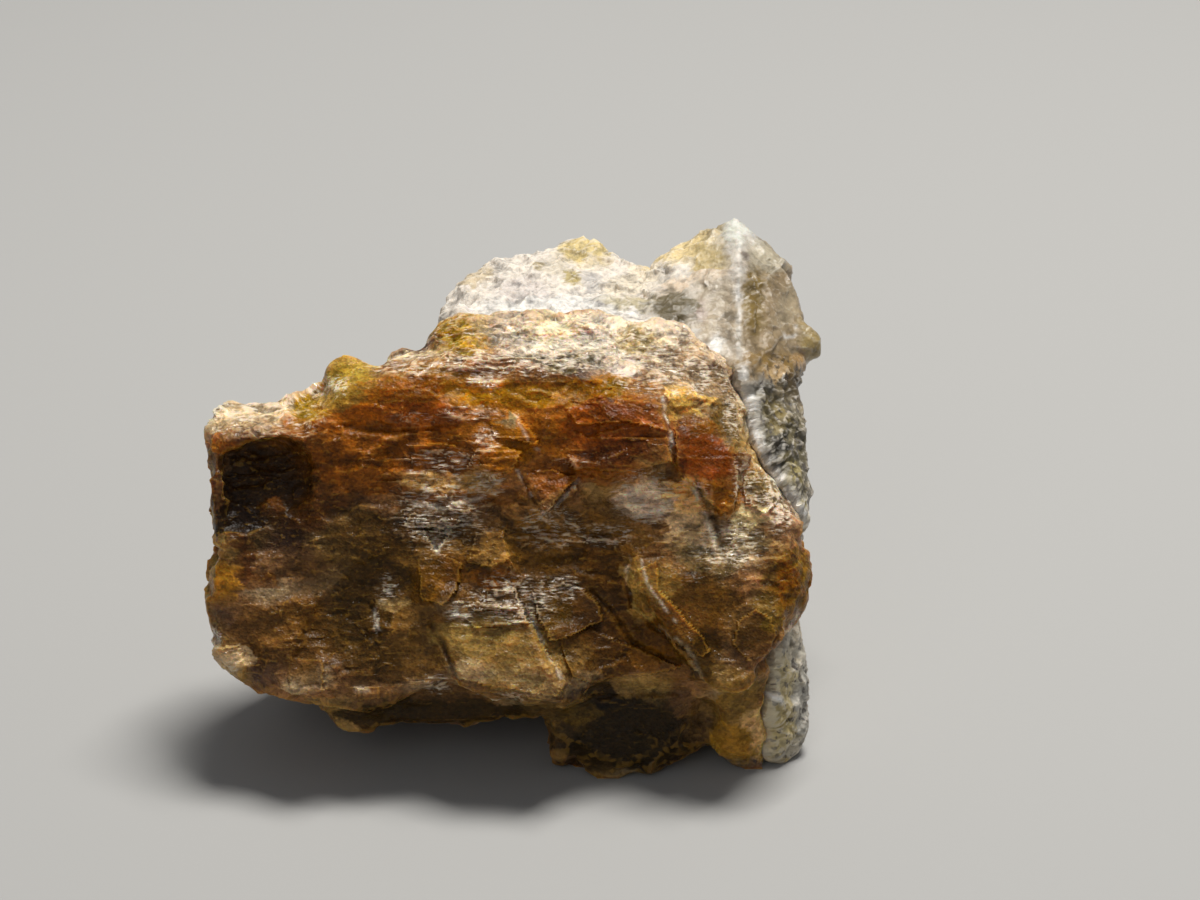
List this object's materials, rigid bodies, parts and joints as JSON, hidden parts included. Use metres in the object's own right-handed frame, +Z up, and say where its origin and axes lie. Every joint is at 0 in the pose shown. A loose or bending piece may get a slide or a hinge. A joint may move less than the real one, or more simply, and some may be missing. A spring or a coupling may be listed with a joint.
{
  "type": "herderite crystal specimen",
  "caption": "Rough broken chunk of translucent honey-brown herderite grown on cream feldspar and grey quartz matrix, standing on its natural feet",
  "frame": {"origin": "middle of the bounding box, on the ground that the specimen stands on", "axes": "+Z up as it stands; +X runs right along the broad striated face, the longest extent; the face looks toward -Y and leans back 27 degrees"},
  "size_m": [0.0306, 0.023, 0.0218],
  "materials": {
    "honey_herderite": "vitreous, translucent, rough broken faces",
    "cream_feldspar": "dull granular feldspar with glassy quartz"
  },
  "bodies": {
    "root": {"herderite_crystal": "honey_herderite", "feldspar_matrix": "cream_feldspar"}
  },
  "joints": []
}
